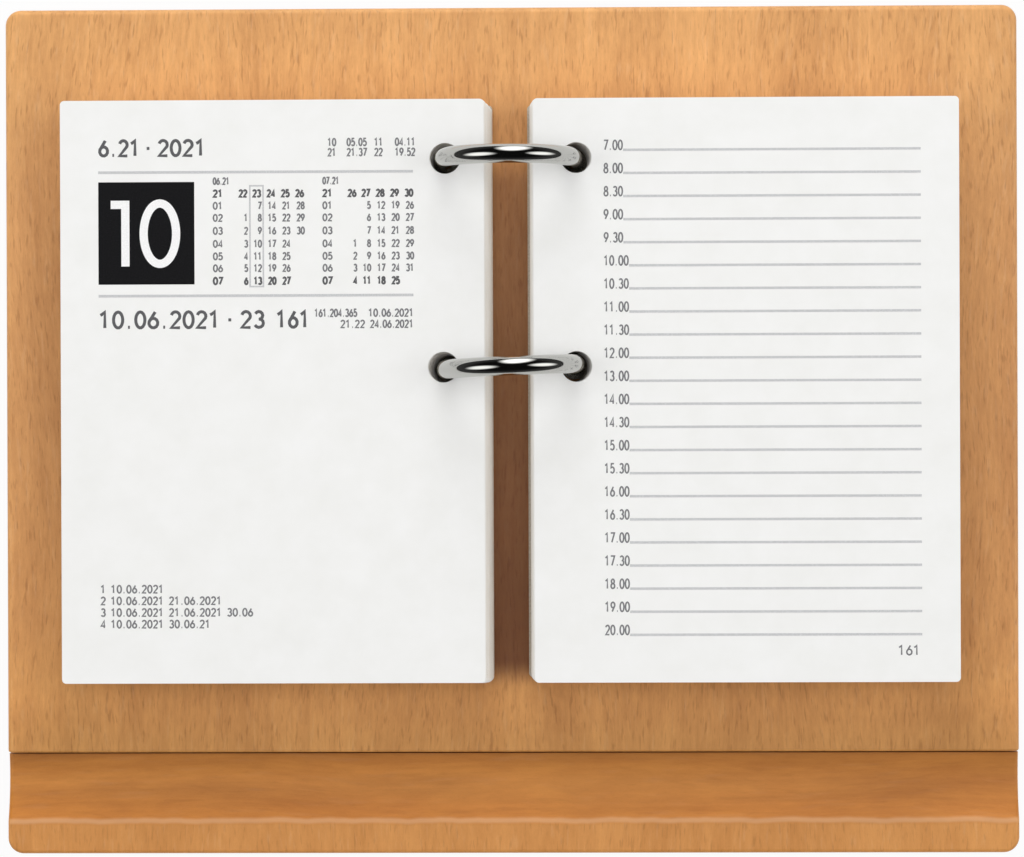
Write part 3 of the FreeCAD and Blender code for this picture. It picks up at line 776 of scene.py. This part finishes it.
def bow_tube(node, name):
    """Point = path place + radius times (cos of the section angle in the plane + sin across it)."""
    path, ways, radii = bow_path(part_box(node)[0].z)
    section = np.linspace(0, 2 * np.pi, SECTION_POINTS, endpoint=False)
    outward = np.column_stack([-ways[:, 1], ways[:, 0]])
    x = path[:, :1] + radii[:, None] * outward[:, :1] * np.cos(section)
    z = path[:, 1:] + radii[:, None] * outward[:, 1:] * np.cos(section)
    y = radii[:, None] * np.sin(section) + np.zeros_like(x)
    angle = math.radians(BOW_TURN[node])
    points = np.stack([BOW_X[node] + x * math.cos(angle) - y * math.sin(angle),
                       BOW_Y[node] + x * math.sin(angle) + y * math.cos(angle), z], -1).reshape(-1, 3)
    faces = grid_faces(len(path), SECTION_POINTS)
    piece = new_piece(name, points, faces, [chrome], node, smooth=True)
    close_seams(piece)
    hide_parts(node)
    return piece


for bow in BOWS:
    tube = bow_tube(bow, bow + "_wire")
    print(tube.name, "faces:", len(tube.data.polygons))

# %% [markdown]
# ## A pen for numerals
# The leaves carry printed numbers. A font would bring its own outlines, and text objects are heavy, so
# the numerals are strokes: each one is a few lines and arcs in a box one unit high. A stroke becomes
# a flat ribbon of ink, with mitred corners, a hundredth of a millimetre thick, which sits on the leaf.

# %% Numeral strokes
FULL_ADVANCE = 0.6
ADVANCE = {".": 0.36, "-": 0.62, "1": 0.62, " ": 0.45}
SIGN_GAP = 0.22


def arc(centre_x, centre_y, radius_x, radius_y, start, end, count):
    """Points on an ellipse from one angle to another, in degrees."""
    angle = np.radians(np.linspace(start, end, count))
    return np.stack([centre_x + radius_x * np.cos(angle), centre_y + radius_y * np.sin(angle)], 1)


def numeral(sign, fine):
    """The strokes of a numeral, point or bar, each an array of (x, y) in a box 0.6 wide and 1 high.

    The letter l asks for the plain 1 of poster figures: a level flag and an upright.
    """
    five_top = [(0.54, 1.0), (0.15, 1.0), (0.07, 0.55)]
    strokes = {
        "0": [arc(0.3, 0.5, 0.29, 0.5, 90, 450, 2 * fine)],
        "1": [np.array([(0.02, 0.80), (0.14, 0.86), (0.30, 1.0), (0.30, 0.0)])],
        "2": [np.concatenate([arc(0.3, 0.72, 0.27, 0.28, 165, -25, fine), [(0.03, 0.0), (0.58, 0.0)]])],
        "3": [arc(0.29, 0.75, 0.24, 0.25, 155, -90, fine), arc(0.29, 0.27, 0.28, 0.27, 90, -155, fine)],
        "4": [np.array([(0.58, 0.26), (0.0, 0.26), (0.44, 1.0), (0.44, 0.0)])],
        "5": [np.concatenate([five_top, arc(0.28, 0.32, 0.29, 0.32, 118, -150, fine)])],
        "6": [arc(0.3, 0.3, 0.28, 0.3, 100, 460, fine + 4), np.array([(0.06, 0.42), (0.42, 1.0)])],
        "7": [np.array([(0.0, 1.0), (0.57, 1.0), (0.17, 0.0)])],
        "8": [arc(0.3, 0.76, 0.22, 0.24, 90, 450, fine + 3),
              arc(0.3, 0.26, 0.28, 0.26, 90, 450, fine + 4)],
        "9": [arc(0.3, 0.7, 0.28, 0.3, 100, 460, fine + 4), np.array([(0.54, 0.58), (0.18, 0.0)])],
        ".": [np.array([(0.10, 0.04), (0.22, 0.04)])],
        "-": [np.array([(0.12, 0.48), (0.30, 0.48)])],
        "l": [np.array([(0.0, 0.98), (0.26, 0.98), (0.26, -0.04)])],
        " ": [],
    }
    return strokes[sign]


print("strokes of an 8:", [len(stroke) for stroke in numeral("8", 9)], "points")

# %% Numbers in a row


def number_strokes(text, left, base, height, squeeze=1.0, fine=9):
    """The strokes of a whole number, from its left end along the line that it stands on."""
    strokes, x = [], left
    for sign in text:
        for stroke in numeral(sign, fine):
            strokes.append(np.array([x, base]) + stroke * (height * squeeze, height))
        x += (ADVANCE.get(sign, FULL_ADVANCE) + SIGN_GAP) * height * squeeze
    return strokes


def number_width(text, height, squeeze=1.0):
    """How far a number reaches. The last sign has no gap behind it."""
    signs = sum(ADVANCE.get(sign, FULL_ADVANCE) + SIGN_GAP for sign in text)
    return (signs - SIGN_GAP) * height * squeeze


print("a 10 of height 1 is", round(number_width("10", 1.0), 2), "wide")

# %% [markdown]
# ### From stroke to ink
# A stroke has no width, so it can't be seen. A curve object with a bevel could give it one, but then the
# curve decides how corners look. Here both edges are worked out: each corner moves sideways along the
# mean of the normals beside it, far enough to keep the ribbon's width in all but the sharpest bends.

# %% Ink ribbons


def ribbon(stroke, width):
    """Both edges of a stroke: a point moved half the width along the mean of the normals beside it."""
    run = np.diff(stroke, axis=0)
    run /= np.linalg.norm(run, axis=1, keepdims=True)
    closed = np.allclose(stroke[0], stroke[-1])
    before = np.vstack([run[-1:] if closed else run[:1], run])
    after = np.vstack([run, run[:1] if closed else run[-1:]])
    normal = np.stack([-(before + after)[:, 1], (before + after)[:, 0]], 1)
    length = np.linalg.norm(normal, axis=1, keepdims=True)
    unit = normal / length
    mitre = np.clip(2 / length, 1, 1.6)
    return stroke + unit * mitre * width / 2, stroke - unit * mitre * width / 2


def ink_solid(strokes, width, low, high, climb):
    """Points and faces of flat ribbons between two heights: four edges carried along each stroke.

    Where two strokes cross, faces at one height would flicker black. So each ribbon climbs a little from
    its start to its end, and every second one starts above where the first ends.
    """
    points, faces, start = [], [], 0
    for index, stroke in enumerate(strokes):
        left, right = ribbon(stroke, width)
        count = len(stroke)
        top = high + climb * (np.linspace(0.0, 1.0, count) + 1.25 * (index % 2))
        foot = np.full(count, low)
        edges = ((left, top), (left, foot), (right, foot), (right, top))
        points.append(np.stack([np.column_stack([edge, z]) for edge, z in edges], 1).reshape(-1, 3))
        faces += (grid_faces(count, 4) + start).tolist()
        last = start + (count - 1) * 4
        faces += [[start + 3, start + 2, start + 1, start], [last, last + 1, last + 2, last + 3]]
        start += count * 4
    return np.concatenate(points), faces


print("an inked 1 has", len(ink_solid(numeral("1", 9), 0.1, 0.0, 0.01, 0.0)[1]), "faces")

# %% [markdown]
# ## Page layout
# A page is laid out in millimetres from its top left corner, as a printer would, and then placed on a
# pile or on the loose leaf. Real pages hold words as well. Here numbers and rules of the same size and
# weight stand in their places. Each line is a text with its left end, the height that it stands on, the
# height of its signs and how narrow they are.

# %% Month tables
TABLE = 1.25
# A table's rows go by the middles of their signs, which stand half a sign lower.
TABLE_HALF = 0.6
DAY_COLUMNS = (0.0, 2.6, 5.3, 8.0, 10.7)
WEEK_ROW = -17.67
DAY_ROWS = (-19.97, -22.25, -24.7, -27.15, -29.5, -31.75, -34.15)
WEEKDAYS = len(DAY_ROWS)
# Middle of the first column, left edge of the labels, month, first week, first day listed, last day.
MONTHS = ((34.6, 29.0, "06", 22, 0, 30), (55.2, 49.7, "07", 26, -2, 31))


def month_table(first_middle, label_left, month, first_week, first_day, last_day):
    """A month's number and its week numbers over a grid of days, a week to each column."""
    light = number_strokes(f"{month}.21", label_left, -15.9, 1.2, 0.68)
    heavy = number_strokes("21", label_left, WEEK_ROW - TABLE_HALF, TABLE, 0.95)
    for column, step in enumerate(DAY_COLUMNS):
        text, middle = str(first_week + column), first_middle + step
        start = middle - number_width(text, TABLE, 0.8) / 2
        heavy += number_strokes(text, start, WEEK_ROW - TABLE_HALF, TABLE, 0.8)
        for row, down in enumerate(DAY_ROWS):
            day = first_day + WEEKDAYS * column + row
            if 1 <= day <= last_day:
                target = heavy if row == WEEKDAYS - 1 else light
                start = middle + 0.85 - number_width(str(day), TABLE, 0.75)
                target += number_strokes(str(day), start, down - TABLE_HALF, TABLE, 0.75)
    for row, down in enumerate(DAY_ROWS):
        target = heavy if row == WEEKDAYS - 1 else light
        target += number_strokes(f"0{row + 1}", label_left, down - TABLE_HALF, TABLE, 0.95)
    return light, heavy


print("strokes in the month tables:", [sum(map(len, month_table(*month))) for month in MONTHS])

# %% Date page
BIG_HEIGHT = 11.4
SMALL, NOTE = 1.35, 1.4
CORNER_COLUMNS = (50.7, 54.3, 59.5, 63.4)
CORNER_LINES = ((-8.73, ("10", "05.05", "11", "04.11")), (-10.63, ("21", "21.37", "22", "19.52")))
NOTES = ("1 10.06.2021", "2 10.06.2021 21.06.2021", "3 10.06.2021 21.06.2021 30.06",
         "4 10.06.2021 30.06.21")
TODAY_BOX = ((35.9, -16.2), (38.4, -16.2), (38.4, -35.2), (35.9, -35.2), (35.9, -16.2))


def rule(left, right, down):
    """A level line."""
    return np.array([(left, -down), (right, -down)])


def lines(rows):
    """The strokes of several lines of text."""
    return [stroke for row in rows for stroke in number_strokes(*row)]


def date_page(day):
    """A date page: lists of strokes, one list for each kind of ink line."""
    corner = [(text, left, base, SMALL, 0.74) for base, texts in CORNER_LINES
              for text, left in zip(texts, CORNER_COLUMNS)]
    page = {
        "head": lines([
            ("6.21", 7.5, -10.45, 2.87, 0.93), ("-", 16.1, -10.45, 2.87), ("2021", 18.7, -10.45, 2.87),
            (f"{day}.06.2021", 7.5, -42.9, 3.0), ("-", 31.4, -42.9, 3.0), ("23", 34.2, -42.9, 3.0),
            (str(151 + day), 41.0, -42.9, 3.0, 0.88),
        ]),
        "head_rule": [rule(7.25, 66.7, 13.6), rule(7.25, 66.7, 36.9)],
        "small": lines(corner + [
            ("161.204.365", 48.1, -40.9, SMALL, 0.70), ("10.06.2021", 58.3, -40.9, SMALL, 0.82),
            ("21.22", 53.0, -43.0, SMALL, 0.90), ("24.06.2021", 58.6, -43.0, SMALL, 0.79),
        ] + [(text, 7.5, -92.9 - 2.2 * row, NOTE, 0.93) for row, text in enumerate(NOTES)]),
        "bold": [], "box": [np.array(TODAY_BOX)], "white": [],
    }
    for month in MONTHS:
        light, heavy = month_table(*month)
        page["small"] += light
        page["bold"] += heavy
    for sign, left in zip(str(day).replace("1", "l"), (9.6, 15.7)):
        page["white"] += number_strokes(sign, left, -30.85, BIG_HEIGHT, 0.93, fine=24)
    return page


print("date page:", {kind: len(strokes) for kind, strokes in date_page(10).items()})

# %% Hour page
FIRST_HOUR, HOUR_PITCH = 9.8, 4.344
HOUR_HEIGHT = 1.75
HOURS = ("7.00", "8.00", "8.30", "9.00", "9.30", "10.00", "10.30", "11.00", "11.30", "12.00", "13.00",
         "14.00", "14.30", "15.00", "15.30", "16.00", "16.30", "17.00", "17.30", "18.00", "19.00", "20.00")


def hour_page(number):
    """Ruled lines with an hour at the head of each, and the page's number at the foot."""
    page = {"rule": [], "small": []}
    for index, text in enumerate(HOURS):
        down = FIRST_HOUR + index * HOUR_PITCH
        page["rule"].append(rule(13.5 + number_width(text, HOUR_HEIGHT, 0.70), 72.8, down))
        page["small"] += number_strokes(text, 13.35, -down + 0.05, HOUR_HEIGHT, 0.70)
    page["small"] += number_strokes(number, 68.4, -104.9, HOUR_HEIGHT, 0.98)
    return page


print("hour page:", len(hour_page("161")["rule"]), "rules")

# %% [markdown]
# ## Printing
# A printed page could be a picture laid on the paper, but thin strokes blur in a picture. So the ink is
# a mesh of its own, a piece for each page. A page on the underside of the leaf that turns is laid out
# the same way and then mirrored, so it reads correctly once the leaf has turned over.

# %% Printing
INK_THICK = 0.012
INK_CLIMB = 0.004
# Each kind of line has an ink and a width in millimetres.
INKS = {"head": (dark_ink, 0.58), "rule": (rule_ink, 0.46), "head_rule": (rule_ink, 0.50),
        "small": (grey_ink, 0.29), "bold": (dark_ink, 0.37), "box": (rule_ink, 0.30),
        "white": (blank_ink, 1.55)}
DATE_SQUARE = (7.25, 25.4, -15.42, -34.74)
BOX_FACES = ((3, 2, 1, 0), (4, 5, 6, 7), (0, 1, 5, 4), (1, 2, 6, 5), (2, 3, 7, 6), (3, 0, 4, 7))
LEAF_TOP, LEAF_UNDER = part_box("turning_leaf")[1].z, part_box("turning_leaf")[0].z


def print_page(name, page, left_x, body, base_z, up=1, square=None):
    """Lays a page on a face. up is 1 on top of a leaf, and -1 under it, where X is mirrored too."""
    all_points, all_faces, kinds, materials = [], [], [], []

    def add(points, faces, material):
        if material not in materials:
            materials.append(material)
        start = sum(len(placed) for placed in all_points)
        all_points.append(points * (up * MM, MM, MM) + (left_x, LEAF_REAR_Y, 0.0))
        all_faces.extend([corner + start for corner in face] for face in faces)
        kinds.extend([materials.index(material)] * len(faces))

    low, high = base_z / MM, base_z / MM + up * INK_THICK
    if square:
        x0, x1, y0, y1 = square
        corners = [(x, y, z) for z in (low, high) for x, y in ((x0, y1), (x1, y1), (x1, y0), (x0, y0))]
        add(np.array(corners), BOX_FACES, black_ink)
    for kind, strokes in page.items():
        if strokes:
            material, width = INKS[kind]
            lift, climb = (up * INK_THICK, 0.0) if kind == "white" else (0.0, up * INK_CLIMB)
            add(*ink_solid(strokes, width, low + lift, high + lift, climb), material)
    points = np.concatenate(all_points)
    piece = new_piece(name, points, all_faces, materials, body, face_materials=kinds)
    close_seams(piece)
    print(name, "faces:", len(piece.data.polygons))


LEAF_OUTER_X = LEAF_INNER_X + LEAF_WIDTH
print_page("date_print_left", date_page(10), -LEAF_OUTER_X, "stand", STACK_TOP, square=DATE_SQUARE)
print_page("hour_print_under", hour_page("162"), LEAF_INNER_X, "stand", STACK_TOP)
print_page("hour_print_leaf", hour_page("161"), LEAF_INNER_X, "leaf", LEAF_TOP)
print_page("date_print_leaf", date_page(11), LEAF_OUTER_X, "leaf", LEAF_UNDER, up=-1, square=DATE_SQUARE)

# %% [markdown]
# ## Floor and lamps
# The calendar lies on a plain white floor under soft studio light. One large lamp hangs high over it,
# two stand at its sides, and a low one behind it throws the soft shadows of the piles and the bows
# forwards. A wide lamp gives a soft shadow, so all four are several times as wide as the calendar. The
# floor keeps a trace of the shadow, but looks nearly white to the camera.

# %% Floor
FLOOR_SIZE = 3.0
FLOOR_WHITE = (0.88, 0.88, 0.87, 1)
FLOOR_GLOW = 0.93

floor_mesh = bpy.data.meshes.new("studio_floor")
corners = [(x * FLOOR_SIZE / 2, y * FLOOR_SIZE / 2, 0) for x, y in ((-1, -1), (1, -1), (1, 1), (-1, 1))]
floor_mesh.from_pydata(corners, [], [(0, 1, 2, 3)])
floor = bpy.data.objects.new("studio_floor", floor_mesh)
bpy.context.scene.collection.objects.link(floor)
floor_paint, tree, shader = new_material(
    "studio_floor", Base_Color=FLOOR_WHITE, Roughness=0.9, Specular_IOR_Level=0.1)
seen = put(tree, "ShaderNodeLightPath").outputs["Is Camera Ray"]
glow = put(tree, "ShaderNodeEmission", {"Color": (1, 1, 1, 1), "Strength": 1.0}).outputs[0]
amount = sums(tree, "MULTIPLY", seen, FLOOR_GLOW)
blend = put(tree, "ShaderNodeMixShader", {0: amount, 1: shader.outputs[0], 2: glow}).outputs[0]
tree.links.new(blend, tree.nodes["Material Output"].inputs["Surface"])
floor.data.materials.append(floor_paint)
print("floor:", FLOOR_SIZE, "m wide")

# %% Lamps
LAMP_AIM = Vector((0, 0, 30)) * MM
# Name, place, width, height and power.
LAMPS = (("high_lamp", (0.04, 0.16, 1.20), 1.0, 1.0, 4.25),
         ("rear_lamp", (0.0, 1.29, 0.58), 0.85, 0.7, 7.1),
         ("left_lamp", (-1.15, 0.10, 0.90), 0.75, 0.75, 3.6),
         ("right_lamp", (1.15, 0.10, 0.90), 0.75, 0.75, 3.6))


def soft_lamp(name, place, width, height, power):
    """A rectangular lamp that looks at the calendar. Mirrors don't see it: they see the patches below."""
    lamp_data = bpy.data.lights.new(name, "AREA")
    lamp_data.shape = "RECTANGLE"
    lamp_data.size, lamp_data.size_y = width, height
    lamp_data.energy = power
    lamp = bpy.data.objects.new(name, lamp_data)
    lamp.location = place
    lamp.rotation_euler = (LAMP_AIM - Vector(place)).to_track_quat("-Z", "Y").to_euler()
    lamp.visible_glossy = False
    bpy.context.scene.collection.objects.link(lamp)


for lamp in LAMPS:
    soft_lamp(*lamp)

# %% [markdown]
# ## What the chrome sees
# A mirror shows lamps as hard rectangles. In a real studio the wire shows soft streaks between black
# bands, because the space above it, where the camera hangs, is dark. So the sky has three looks: an
# even pale one that lights the calendar, a dark one with three soft patches, which only mirrors see,
# and plain white for the camera.

# %% A reflected lamp
# One patch: full strength near its middle, and a soft fall to nothing at its rim.
patch, given, gives = new_group(
    "reflected_lamp",
    [("Direction", "NodeSocketVector", None), ("Middle", "NodeSocketVector", (0, 0, 1)),
     ("Across", "NodeSocketVector", (1, 0, 0)), ("Up", "NodeSocketVector", (0, 1, 0))],
    [("Strength", "NodeSocketFloat")],
)
offset = vectors(patch, "SUBTRACT", given["Direction"], given["Middle"])
across, up = (vectors(patch, "DOT_PRODUCT", offset, given[axis]) for axis in ("Across", "Up"))
squares = sums(patch, "ADD", sums(patch, "MULTIPLY", across, across), sums(patch, "MULTIPLY", up, up))
feed(patch, gives["Strength"], remap(patch, squares, 1.0, 0.05, smooth=True))


def lamp_patch(tree, direction, azimuth, height, half_width, half_height):
    """The patch that a lamp shows at an azimuth and a height above the horizon, both in degrees."""
    turn, lift = math.radians(azimuth), math.radians(height)
    middle = Vector((math.sin(turn) * math.cos(lift), math.cos(turn) * math.cos(lift), math.sin(lift)))
    side = Vector((math.cos(turn), -math.sin(turn), 0))
    above = side.cross(middle)
    return use(patch, tree, {"Direction": direction, "Middle": middle, "Across": side / half_width,
                             "Up": above / half_height})["Strength"]


print("patch group:", len(patch.nodes), "nodes")

# %% World
SKY_LIGHT = 0.43
SKY_WHITE = (1.0, 0.995, 0.985, 1)
# Azimuth (0 is the rear, 90 the right), height, half width, half height and strength.
PATCHES = ((8, 34, 0.42, 0.62, 2.6), (-102, 44, 0.40, 0.52, 1.8), (92, 36, 0.36, 0.48, 1.8))

world = bpy.data.worlds.new("studio")
bpy.context.scene.world = world
world.use_nodes = True
tree = world.node_tree
direction = put(tree, "ShaderNodeTexCoord").outputs["Generated"]
light_path = put(tree, "ShaderNodeLightPath").outputs
mirrored = remap(tree, split(tree, direction)["Z"], 0.05, 0.60, 0.06, 0.006, smooth=True)
for *shape, glow_strength in PATCHES:
    spot = lamp_patch(tree, direction, *shape)
    mirrored = sums(tree, "ADD", mirrored, sums(tree, "MULTIPLY", spot, glow_strength))
feeds = {0: light_path["Is Glossy Ray"], 2: SKY_LIGHT, 3: mirrored}
strength = put(tree, "ShaderNodeMix", feeds, data_type="FLOAT").outputs[0]
strength = sums(tree, "MAXIMUM", strength, light_path["Is Camera Ray"])
background = tree.nodes["Background"]
dress(tree, background, Color=SKY_WHITE, Strength=strength)
bpy.context.scene.view_settings.view_transform = "Standard"
print("patches in the mirror's sky:", len(PATCHES))
